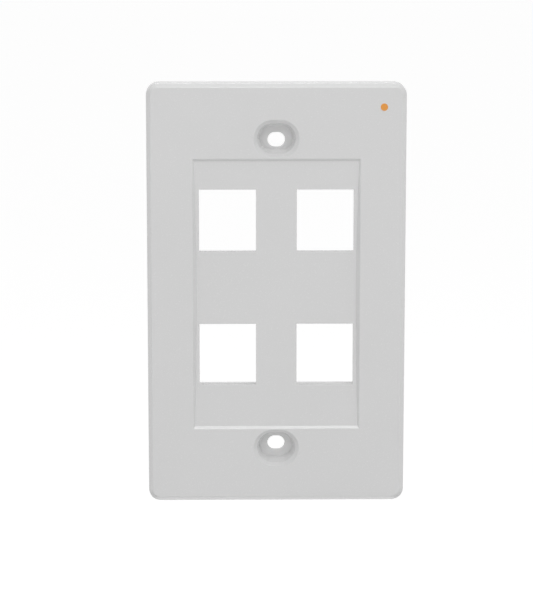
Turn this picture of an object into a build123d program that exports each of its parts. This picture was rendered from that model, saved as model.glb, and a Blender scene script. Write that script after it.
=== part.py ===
from build123d import *
from math import atan2, degrees
import os

# Four-port keystone faceplate: one plastic moulding that closes a single-gang wall box.
# Millimetres. X runs to the right and Z up as the plate hangs on the wall, and Y runs into the wall.
# The origin is the centre of the wall plane, so the visible face lies at minus PLATE_DEPTH.

# Plate
PLATE_WIDTH = 69.85
PLATE_HEIGHT = 114.3
PLATE_DEPTH = 6.4
CORNER_RADIUS = 3.4
FRONT_WALL = 2.0
RIM_WALL = 1.8
SIDE_DRAFT = 0.12
INNER_DRAFT = 0.15
BEVEL_ACROSS = 1.15
BEVEL_DEEP = 1.15
BEVEL_ROUND = 0.45

# Recessed panel: sloping walls, each given by how far it leans in, down to a floor deepest at mid-height
PANEL_WIDTH = 45.1
PANEL_HEIGHT = 73.8
PANEL_STEP = 0.55
PANEL_SAG = 0.8
PANEL_SIDE_LEAN = 0.78
PANEL_END_LEAN = 1.25
PANEL_EDGE_EASE = 0.1
TRAY_MARGIN = 1.0

# Screw wells: drafted oblong pockets with round ends, a flared mouth and a levelling slot in the floor
SCREW_SPACING = 83.34
WELL_OFFSET = 0.55
WELL_STRAIGHT = 2.2
WELL_FLOOR_RADIUS = 3.25
WELL_DEPTH = 4.4
WELL_DRAFT = 0.85
FLARE_ACROSS = 0.95
FLARE_DEEP = 1.0
WELL_FOOT_ROUND = 0.3
WELL_MOUTH_ROUND = 0.15
WELL_FLOOR = 1.6
WELL_WALL = 1.4
SLOT_LENGTH = 4.7
SLOT_WIDTH = 3.95

# Keystone ports: the opening a jack shows through, and the receptacle that holds it from behind
PORT_WIDTH = 15.3
PORT_HEIGHT = 16.7
PORT_PITCH_X = 26.3
PORT_PITCH_Z = 36.6
PORT_GROUP_RAISE = 1.85
LIP_THICKNESS = 1.5
RECEPTACLE_DEPTH = 9.9
RECEPTACLE_WALL = 1.3
RECEPTACLE_CORNER = 0.8
SIDE_RELIEF = 0.6
BAR_THICKNESS = 1.9
LATCH_POCKET = 4.0
LATCH_BAR_SETBACK = 2.0
LATCH_LEAD_IN = 0.8
LUG_SHELF_DROP = 1.2
LUG_SHELF_DEPTH = 6.5
LUG_GROOVE = 3.0
WEB_THICKNESS = 1.2
WEB_BACK = 1.0

# Colour dot printed near the top right corner of the face
DOT_DIAMETER = 1.95
DOT_THICKNESS = 0.08
DOT_FROM_SIDE = 6.2
DOT_FROM_TOP = 6.5

FACE_Y = -PLATE_DEPTH
FLOOR_MID_Y = FACE_Y + PANEL_STEP + PANEL_SAG
LIP_BACK_Y = FLOOR_MID_Y + LIP_THICKNESS
RECEPTACLE_BACK_Y = FLOOR_MID_Y + RECEPTACLE_DEPTH
BAR_FRONT_Y = RECEPTACLE_BACK_Y - BAR_THICKNESS
CLEAR = 1.0


def upright(y):
    """A plane at one depth, drawn on as it is seen from the front: x to the right, z up."""
    return Plane(origin=(0, y, 0), x_dir=(1, 0, 0), z_dir=(0, -1, 0))


def block(width, height, y_front, y_back, x=0, z=0, corner=0):
    """A straight block between two depths, with its corners rounded where a radius is given."""
    shape = RectangleRounded(width, height, corner) if corner else Rectangle(width, height)
    return extrude(upright(y_back) * Pos(x, z) * shape, amount=y_back - y_front)


def drafted(outline, length, spread):
    """Extrude an outline towards the viewer, growing it by spread on every side over that length."""
    return extrude(outline, amount=length, taper=-degrees(atan2(spread, length)))


def plate_outline(y, inset):
    return upright(y) * RectangleRounded(
        PLATE_WIDTH - 2 * inset, PLATE_HEIGHT - 2 * inset, CORNER_RADIUS - inset
    )


def outer_body():
    """The plate as a solid block: drafted sides, then a bevel all round with softened edges."""
    bevel_y = FACE_Y + BEVEL_DEEP
    body = drafted(plate_outline(0, 0), -bevel_y, -SIDE_DRAFT)
    body += drafted(plate_outline(bevel_y, SIDE_DRAFT), BEVEL_DEEP, -BEVEL_ACROSS)
    bends = [edge for edge in body.edges() if is_level(edge, FACE_Y) or is_level(edge, bevel_y)]
    return fillet(bends, BEVEL_ROUND)


def is_level(edge, y):
    """Whether an edge lies flat at one depth."""
    box = edge.bounding_box()
    return box.size.Y < 0.001 and abs(box.center().Y - y) < 0.001


def inner_cavity():
    """The hollow behind the face, inside the rim."""
    depth = PLATE_DEPTH - FRONT_WALL
    over = CLEAR * INNER_DRAFT / depth
    return drafted(plate_outline(CLEAR, RIM_WALL - over), depth + CLEAR, -INNER_DRAFT - over)


def panel_profile(floor_offset, front_y):
    """Side view of the panel: a shallow arc, deepest at mid-height, closed by a straight front."""
    half = PANEL_HEIGHT / 2
    edge_y = FACE_Y + PANEL_STEP + floor_offset
    arc = ThreePointArc((edge_y, -half), (edge_y + PANEL_SAG, 0), (edge_y, half))
    sides = Polyline((edge_y, half), (front_y, half), (front_y, -half), (edge_y, -half))
    return Plane.YZ * make_face(arc + sides)


def panel_tray():
    """The front wall's own thickness carried back behind the sunk floor."""
    width = PANEL_WIDTH + 2 * TRAY_MARGIN
    return extrude(panel_profile(FRONT_WALL, FACE_Y + FRONT_WALL / 2), amount=width / 2, both=True)


def in_front_of_face(width, height, z):
    """A slab that touches the face from in front, for a cutter's mouth to flare against."""
    return block(width + 4 * CLEAR, height + 4 * CLEAR, FACE_Y - CLEAR, FACE_Y, 0, z)


def mouth_edges(cutter, width, height):
    """The inner corner all round where a cutter meets the slab in front of the face."""
    return [
        edge for edge in cutter.edges()
        if is_level(edge, FACE_Y) and edge.bounding_box().size.X < width + CLEAR
        and edge.bounding_box().size.Z < height + CLEAR
    ]


def behind_face(cutter):
    """The cutter without what stands in front of the face."""
    return cutter & block(PLATE_WIDTH, 2 * PLATE_HEIGHT, FACE_Y, FACE_Y + 2 * PLATE_DEPTH)


def wedge(plane, mouth, lean, depth, length):
    """A long trough that narrows by its lean on both sides as it goes back from the face."""
    half = mouth / 2
    foot = half - lean * depth
    outline = Polyline(
        (FACE_Y, half), (FACE_Y + depth, foot), (FACE_Y + depth, -foot), (FACE_Y, -half), close=True
    )
    return extrude(plane * make_face(outline), amount=length, both=True)


def panel_recess():
    """What is cut away in front of the floor, with sloping walls and the mouth's edge eased."""
    deepest = PANEL_STEP + PANEL_SAG + CLEAR
    plan = Plane(origin=(0, 0, 0), x_dir=(0, 1, 0), z_dir=(0, 0, -1))
    cutter = wedge(plan, PANEL_WIDTH, PANEL_SIDE_LEAN, deepest, PANEL_HEIGHT)
    cutter &= wedge(Plane.YZ, PANEL_HEIGHT, PANEL_END_LEAN, deepest, PANEL_WIDTH)
    eased_width = PANEL_WIDTH - 2 * PANEL_SIDE_LEAN * PANEL_EDGE_EASE
    eased_height = PANEL_HEIGHT - 2 * PANEL_END_LEAN * PANEL_EDGE_EASE
    eased = upright(FACE_Y + PANEL_EDGE_EASE) * Rectangle(eased_width, eased_height)
    cutter += drafted(eased, PANEL_EDGE_EASE, 2 * PANEL_EDGE_EASE)
    return cutter & extrude(panel_profile(0, FACE_Y - CLEAR), amount=PANEL_WIDTH, both=True)


def well_outline(y, radius, side):
    """The well's oblong at one depth, with a given radius at its ends, on the upper or the lower side."""
    z = side * (SCREW_SPACING / 2 + WELL_OFFSET)
    return upright(y) * Pos(0, z) * SlotCenterToCenter(WELL_STRAIGHT, 2 * radius)


def well_boss(side):
    """The cup around a screw well, standing up from the back of the face."""
    back = well_outline(FACE_Y + WELL_DEPTH + WELL_FLOOR, WELL_FLOOR_RADIUS + WELL_WALL, side)
    return drafted(back, WELL_DEPTH + WELL_FLOOR - FRONT_WALL / 2, WELL_DRAFT)


def well_pocket(side):
    """The drafted pocket, its mouth flared and every bend softened, with the slot through its floor."""
    floor_y = FACE_Y + WELL_DEPTH
    throat = WELL_FLOOR_RADIUS + WELL_DRAFT
    height = 2 * (throat + FLARE_ACROSS)
    width = WELL_STRAIGHT + height
    cutter = drafted(well_outline(floor_y, WELL_FLOOR_RADIUS, side), WELL_DEPTH - FLARE_DEEP, WELL_DRAFT)
    cutter += drafted(well_outline(FACE_Y + FLARE_DEEP, throat, side), FLARE_DEEP, FLARE_ACROSS)
    cutter += in_front_of_face(width, height, side * (SCREW_SPACING / 2 + WELL_OFFSET))
    cutter = fillet([edge for edge in cutter.edges() if is_level(edge, floor_y)], WELL_FOOT_ROUND)
    cutter = behind_face(fillet(mouth_edges(cutter, width, height), WELL_MOUTH_ROUND))
    slot = upright(CLEAR) * Pos(0, side * SCREW_SPACING / 2) * SlotOverall(SLOT_LENGTH, SLOT_WIDTH)
    return cutter + extrude(slot, amount=CLEAR - FACE_Y - WELL_DEPTH / 2)


def port_centres():
    """Two columns and two rows of ports, the group set a little above the plate's centre."""
    return [
        (column * PORT_PITCH_X / 2, PORT_GROUP_RAISE + row * PORT_PITCH_Z / 2)
        for row in (1, -1)
        for column in (-1, 1)
    ]


def receptacle_body(x, z):
    """The square tube behind one port, taller above for the latch than below for the lug."""
    above = PORT_HEIGHT / 2 + LATCH_POCKET + RECEPTACLE_WALL
    below = PORT_HEIGHT / 2 + LUG_GROOVE + RECEPTACLE_WALL
    width = PORT_WIDTH + 2 * (SIDE_RELIEF + RECEPTACLE_WALL)
    return block(
        width, above + below, FACE_Y + FRONT_WALL, RECEPTACLE_BACK_Y, x, z + (above - below) / 2, RECEPTACLE_CORNER
    )


def receptacle_cavity(x, z):
    """Side view of the inside of a receptacle, from the lip's back to the open rear.

    Above, the jack's latch springs up behind a bar with a sloping lead-in. Below, its fixed lug drops
    into a groove between a shelf and a second bar.
    """
    top = z + PORT_HEIGHT / 2
    low = z - PORT_HEIGHT / 2
    groove_y = FLOOR_MID_Y + LUG_SHELF_DEPTH
    open_y = RECEPTACLE_BACK_Y + CLEAR
    latch_edge = top + LATCH_BAR_SETBACK
    profile = Polyline(
        (LIP_BACK_Y, top + LATCH_POCKET),
        (BAR_FRONT_Y, top + LATCH_POCKET),
        (BAR_FRONT_Y, latch_edge),
        (RECEPTACLE_BACK_Y - LATCH_LEAD_IN, latch_edge),
        (open_y, latch_edge + LATCH_LEAD_IN + CLEAR),
        (open_y, low - LUG_SHELF_DROP),
        (BAR_FRONT_Y, low - LUG_SHELF_DROP),
        (BAR_FRONT_Y, low - LUG_GROOVE),
        (groove_y, low - LUG_GROOVE),
        (groove_y, low - LUG_SHELF_DROP),
        (LIP_BACK_Y, low - LUG_SHELF_DROP),
        close=True,
    )
    side_view = Plane(origin=(x, 0, 0), x_dir=(0, 1, 0), z_dir=(1, 0, 0)) * make_face(profile)
    return extrude(side_view, amount=PORT_WIDTH / 2 + SIDE_RELIEF, both=True)


def port_opening(x, z):
    return block(PORT_WIDTH, PORT_HEIGHT, FACE_Y - CLEAR, LIP_BACK_Y + CLEAR / 2, x, z)


def webs():
    """Stiffening webs that tie the four receptacles together."""
    centres = port_centres()
    height = PORT_PITCH_Z
    width = PORT_PITCH_X
    front = FACE_Y + FRONT_WALL
    rows = [block(width, WEB_THICKNESS, front, WEB_BACK, 0, z) for x, z in centres[::2]]
    columns = [block(WEB_THICKNESS, height, front, WEB_BACK, x, PORT_GROUP_RAISE) for x, z in centres[:2]]
    return rows + columns


def faceplate():
    moulding = outer_body() - inner_cavity()
    moulding += panel_tray()
    for side in (1, -1):
        moulding += well_boss(side)
    for x, z in port_centres():
        moulding += receptacle_body(x, z)
    for web in webs():
        moulding += web
    moulding -= panel_recess()
    for side in (1, -1):
        moulding -= well_pocket(side)
    for x, z in port_centres():
        moulding -= receptacle_cavity(x, z)
        moulding -= port_opening(x, z)
    return moulding


def colour_dot():
    place = Pos(PLATE_WIDTH / 2 - DOT_FROM_SIDE, PLATE_HEIGHT / 2 - DOT_FROM_TOP)
    disc = upright(FACE_Y) * place * Circle(DOT_DIAMETER / 2)
    return extrude(disc, amount=DOT_THICKNESS)


os.makedirs("parts", exist_ok=True)
for name, solid in {"faceplate": faceplate(), "colour_dot": colour_dot()}.items():
    export_step(solid, f"parts/{name}.step")
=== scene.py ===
import bpy
from mathutils import Matrix, Vector


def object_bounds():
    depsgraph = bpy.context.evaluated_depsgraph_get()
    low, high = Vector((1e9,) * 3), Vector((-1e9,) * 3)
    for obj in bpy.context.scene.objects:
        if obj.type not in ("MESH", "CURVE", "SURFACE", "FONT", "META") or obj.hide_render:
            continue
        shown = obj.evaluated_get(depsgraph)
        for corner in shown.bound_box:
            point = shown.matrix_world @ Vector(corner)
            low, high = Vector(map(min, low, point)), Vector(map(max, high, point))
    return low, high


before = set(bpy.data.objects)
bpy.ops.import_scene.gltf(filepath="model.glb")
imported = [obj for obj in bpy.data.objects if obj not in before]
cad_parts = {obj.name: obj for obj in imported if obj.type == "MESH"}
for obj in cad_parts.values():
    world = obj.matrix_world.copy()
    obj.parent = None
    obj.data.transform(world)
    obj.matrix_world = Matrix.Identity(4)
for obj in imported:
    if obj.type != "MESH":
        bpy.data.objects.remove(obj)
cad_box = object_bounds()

# Camera, as the picture was taken: a little to the left of the plate and above it
CAMERA_PLACE = Vector((-0.013715, -0.619385, 0.098352))
CAMERA_LOOK = Vector((0.017762, 0.986353, -0.163685))
CAMERA_UP = Vector((0.002681, 0.163663, 0.986513))
CAMERA_NEAR = 0.01
LENS_MM = 134.745
SENSOR_MM = 36.0

# Floor: its tone and glow change from near to far with the distance from the point under the plate:
# painted shade greys it near the plate, and it glows farther off
FLOOR_DROP = 0.55
FLOOR_RADIUS = 60.0
FLOOR_SIDES = 96
FLOOR_NEAR = 0.6
# Painted shade: the floor's tone near the point under the plate, darker than farther off
FLOOR_PAINTED_SHADE_TONE = 0.62
FLOOR_FAR = 1.6
FLOOR_FAR_TONE = 0.9
FLOOR_GLOW = 0.56
FLOOR_ROUGHNESS = 0.9

# Room: soft light all round, and a stronger one behind that fades in between two values of a direction's Y
ROOM_LIGHT = 0.45
BACK_LIGHT = 0.75
BACK_STARTS = 0.6
BACK_FULL = 0.95
BACKDROP = 1.0

# Lamps: place, size in metres, watts
CEILING_PLACE = Vector((0.2, -1.0, 1.75))
CEILING_SIZE = 0.7
CEILING_WATTS = 9.2
REAR_PLACE = Vector((0.0, 0.5, 1.2))
REAR_SIZE = 0.6
REAR_WATTS = 6.0
UNDER_PLACE = Vector((0.0, 0.25, -0.5))
UNDER_SIZE = 0.4
UNDER_WATTS = 0.72
KEY_PLACE = Vector((-0.02, -0.75, 0.62))
KEY_SIZE = 0.05
KEY_WATTS = 0.75
SIDE_PLACE = Vector((1.1, -0.25, 0.1))
SIDE_SIZE = 0.5
SIDE_WATTS = 0.34

# Patterns: the stretch of a noise's values that is spread over the whole of a pattern
NOISE_LOW = 0.3
NOISE_HIGH = 0.7

# Plastic
PLASTIC_TONE = 0.75
PLASTIC_MOTTLE = 0.006
PLASTIC_ROUGHNESS = 0.24
PLASTIC_ROUGHNESS_SPREAD = 0.05
PLASTIC_IOR = 1.5
CLOUD_SIZE = 0.03
CLOUD_DETAIL = 3.0
GRAIN_SIZE = 0.00035
GRAIN_DETAIL = 2.0
GRAIN_CONTRAST = 0.6
GRAIN_HEIGHT = 0.0000015
RIPPLE_SIZE = 0.006
RIPPLE_DETAIL = 1.0
RIPPLE_HEIGHT = 0.000003

# Printed dot
INK_COLOUR = (0.92, 0.389, 0.071)
INK_DARK_SPECK = (0.82, 0.322, 0.051)
INK_SPECK_SIZE = 0.00012
INK_SPECK_DETAIL = 2.0
INK_ROUGHNESS = 0.42
INK_ROUGHNESS_SPREAD = 0.05


def start_material(name):
    """A new node material: its node tree and its surface shader."""
    material = bpy.data.materials.new(name)
    material.use_nodes = True
    tree = material.node_tree
    shader = next(node for node in tree.nodes if node.type == "BSDF_PRINCIPLED")
    return material, tree, shader


def noise_on_piece(tree, feature_size, detail, contrast=0.5):
    """Noise fixed to the piece itself, with features of a given size in metres."""
    place = tree.nodes.new("ShaderNodeTexCoord")
    noise = tree.nodes.new("ShaderNodeTexNoise")
    noise.inputs["Scale"].default_value = 1.0 / feature_size
    noise.inputs["Detail"].default_value = detail
    noise.inputs["Roughness"].default_value = contrast
    tree.links.new(place.outputs["Object"], noise.inputs["Vector"])
    return noise


def between(tree, factor, middle, spread):
    """A number that runs from middle - spread to middle + spread as the noise does."""
    stretch = tree.nodes.new("ShaderNodeMapRange")
    stretch.inputs["From Min"].default_value = NOISE_LOW
    stretch.inputs["From Max"].default_value = NOISE_HIGH
    stretch.inputs["To Min"].default_value = middle - spread
    stretch.inputs["To Max"].default_value = middle + spread
    tree.links.new(factor, stretch.inputs["Value"])
    return stretch.outputs["Result"]


def colour_between(tree, factor, low, high):
    """A colour that runs from low to high as the noise does."""
    ramp = tree.nodes.new("ShaderNodeValToRGB")
    first, last = ramp.color_ramp.elements
    first.position, last.position = NOISE_LOW, NOISE_HIGH
    first.color, last.color = (*low, 1.0), (*high, 1.0)
    tree.links.new(factor, ramp.inputs["Fac"])
    return ramp.outputs["Color"]


def raised_by(tree, noise, height):
    """A bump node whose surface stands up to the given height, in metres, where the noise is high."""
    bump = tree.nodes.new("ShaderNodeBump")
    bump.inputs["Distance"].default_value = height
    tree.links.new(noise.outputs["Fac"], bump.inputs["Height"])
    return bump


def moulded_plastic():
    """Light grey plastic with the fine even grain that a mould leaves."""
    material, tree, shader = start_material("moulded_plastic")
    cloud = noise_on_piece(tree, CLOUD_SIZE, CLOUD_DETAIL)
    dark, light = PLASTIC_TONE - PLASTIC_MOTTLE, PLASTIC_TONE + PLASTIC_MOTTLE
    tint = colour_between(tree, cloud.outputs["Fac"], (dark,) * 3, (light,) * 3)
    tree.links.new(tint, shader.inputs["Base Color"])

    grain = noise_on_piece(tree, GRAIN_SIZE, GRAIN_DETAIL, GRAIN_CONTRAST)
    dullness = between(tree, grain.outputs["Fac"], PLASTIC_ROUGHNESS, PLASTIC_ROUGHNESS_SPREAD)
    tree.links.new(dullness, shader.inputs["Roughness"])

    ripple = noise_on_piece(tree, RIPPLE_SIZE, RIPPLE_DETAIL)
    rippled = raised_by(tree, ripple, RIPPLE_HEIGHT)
    grained = raised_by(tree, grain, GRAIN_HEIGHT)
    tree.links.new(rippled.outputs["Normal"], grained.inputs["Normal"])
    tree.links.new(grained.outputs["Normal"], shader.inputs["Normal"])
    shader.inputs["IOR"].default_value = PLASTIC_IOR
    return material


def printed_ink():
    """Flat orange ink with a slightly uneven cover."""
    material, tree, shader = start_material("printed_orange_ink")
    speck = noise_on_piece(tree, INK_SPECK_SIZE, INK_SPECK_DETAIL)
    tint = colour_between(tree, speck.outputs["Fac"], INK_DARK_SPECK, INK_COLOUR)
    tree.links.new(tint, shader.inputs["Base Color"])
    dullness = between(tree, speck.outputs["Fac"], INK_ROUGHNESS, INK_ROUGHNESS_SPREAD)
    tree.links.new(dullness, shader.inputs["Roughness"])
    return material


def finish_node(name, material):
    """Gives a node of the part its finish."""
    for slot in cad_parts[name].material_slots:
        slot.material = material


def plain_floor():
    """A wide floor well below the plate. Painted shade makes it grey under the plate, and farther off it
    is nearly white and glows.
    """
    bpy.ops.object.select_all(action="DESELECT")
    level = cad_box[0].z - FLOOR_DROP
    bpy.ops.mesh.primitive_circle_add(
        vertices=FLOOR_SIDES, radius=FLOOR_RADIUS, fill_type="NGON", location=(0, 0, level)
    )
    floor = bpy.context.object
    floor.name = "plain_floor"
    bpy.ops.object.transform_apply(location=True, rotation=True, scale=True)
    material, tree, shader = start_material("floor_paint_with_painted_shade_and_glow")
    place = tree.nodes.new("ShaderNodeTexCoord")
    flat = tree.nodes.new("ShaderNodeVectorMath")
    flat.operation = "MULTIPLY"
    flat.inputs[1].default_value = (1.0, 1.0, 0.0)
    tree.links.new(place.outputs["Object"], flat.inputs[0])
    reach = tree.nodes.new("ShaderNodeVectorMath")
    reach.operation = "LENGTH"
    tree.links.new(flat.outputs["Vector"], reach.inputs[0])
    # Painted shade greys the floor near the plate, and a painted glow lightens it farther off
    for socket, near, far in (
        ("Base Color", FLOOR_PAINTED_SHADE_TONE, FLOOR_FAR_TONE),
        ("Emission Strength", 0.0, FLOOR_GLOW),
    ):
        change = tree.nodes.new("ShaderNodeMapRange")
        change.interpolation_type = "SMOOTHSTEP"
        change.inputs["From Min"].default_value = FLOOR_NEAR
        change.inputs["From Max"].default_value = FLOOR_FAR
        change.inputs["To Min"].default_value = near
        change.inputs["To Max"].default_value = far
        tree.links.new(reach.outputs["Value"], change.inputs["Value"])
        tree.links.new(change.outputs["Result"], shader.inputs[socket])
    shader.inputs["Emission Color"].default_value = (1.0, 1.0, 1.0, 1.0)
    shader.inputs["Roughness"].default_value = FLOOR_ROUGHNESS
    shader.inputs["Specular IOR Level"].default_value = 0.0
    floor.data.materials.append(material)


def white_room():
    """Soft light from all round, stronger behind the plate, which the camera sees as a white backdrop."""
    world = bpy.data.worlds.new("white_room")
    world.use_nodes = True
    tree = world.node_tree
    background = next(node for node in tree.nodes if node.type == "BACKGROUND")
    background.inputs["Color"].default_value = (1.0, 1.0, 1.0, 1.0)
    place = tree.nodes.new("ShaderNodeTexCoord")
    direction = tree.nodes.new("ShaderNodeSeparateXYZ")
    tree.links.new(place.outputs["Generated"], direction.inputs["Vector"])
    around = tree.nodes.new("ShaderNodeMapRange")
    around.interpolation_type = "SMOOTHSTEP"
    around.inputs["From Min"].default_value = BACK_STARTS
    around.inputs["From Max"].default_value = BACK_FULL
    around.inputs["To Min"].default_value = ROOM_LIGHT
    around.inputs["To Max"].default_value = BACK_LIGHT
    tree.links.new(direction.outputs["Y"], around.inputs["Value"])
    path = tree.nodes.new("ShaderNodeLightPath")
    strength = tree.nodes.new("ShaderNodeMapRange")
    tree.links.new(path.outputs["Is Camera Ray"], strength.inputs["Value"])
    tree.links.new(around.outputs["Result"], strength.inputs["To Min"])
    strength.inputs["To Max"].default_value = BACKDROP
    tree.links.new(strength.outputs["Result"], background.inputs["Strength"])
    bpy.context.scene.world = world


def lamp(name, place, size, watts):
    """A square soft lamp that faces the middle of the plate, itself out of the camera's sight."""
    bpy.ops.object.light_add(type="AREA", location=place)
    lit = bpy.context.object
    lit.name = name
    lit.data.shape = "SQUARE"
    lit.data.size = size
    lit.data.energy = watts
    lit.visible_camera = False
    lit.rotation_mode = "QUATERNION"
    lit.rotation_quaternion = (-place).to_track_quat("-Z", "Y")


def camera():
    """The camera, turned by its line of sight and its own up direction."""
    bpy.ops.object.camera_add(location=CAMERA_PLACE)
    viewer = bpy.context.object
    viewer.name = "viewer"
    viewer.data.lens = LENS_MM
    viewer.data.sensor_width = SENSOR_MM
    viewer.data.sensor_fit = "AUTO"
    back = -CAMERA_LOOK.normalized()
    right = CAMERA_UP.cross(back).normalized()
    up = back.cross(right)
    viewer.rotation_mode = "QUATERNION"
    viewer.rotation_quaternion = Matrix((right, up, back)).transposed().to_quaternion()
    viewer.data.clip_start = CAMERA_NEAR
    viewer.data.clip_end = 2 * FLOOR_RADIUS
    bpy.context.scene.camera = viewer


camera()
white_room()
plain_floor()
lamp("ceiling_lamp", CEILING_PLACE, CEILING_SIZE, CEILING_WATTS)
lamp("rear_lamp", REAR_PLACE, REAR_SIZE, REAR_WATTS)
lamp("under_lamp", UNDER_PLACE, UNDER_SIZE, UNDER_WATTS)
lamp("key_lamp", KEY_PLACE, KEY_SIZE, KEY_WATTS)
lamp("side_lamp", SIDE_PLACE, SIDE_SIZE, SIDE_WATTS)
bpy.context.scene.view_settings.view_transform = "Standard"

finish_node("faceplate", moulded_plastic())
finish_node("colour_dot", printed_ink())
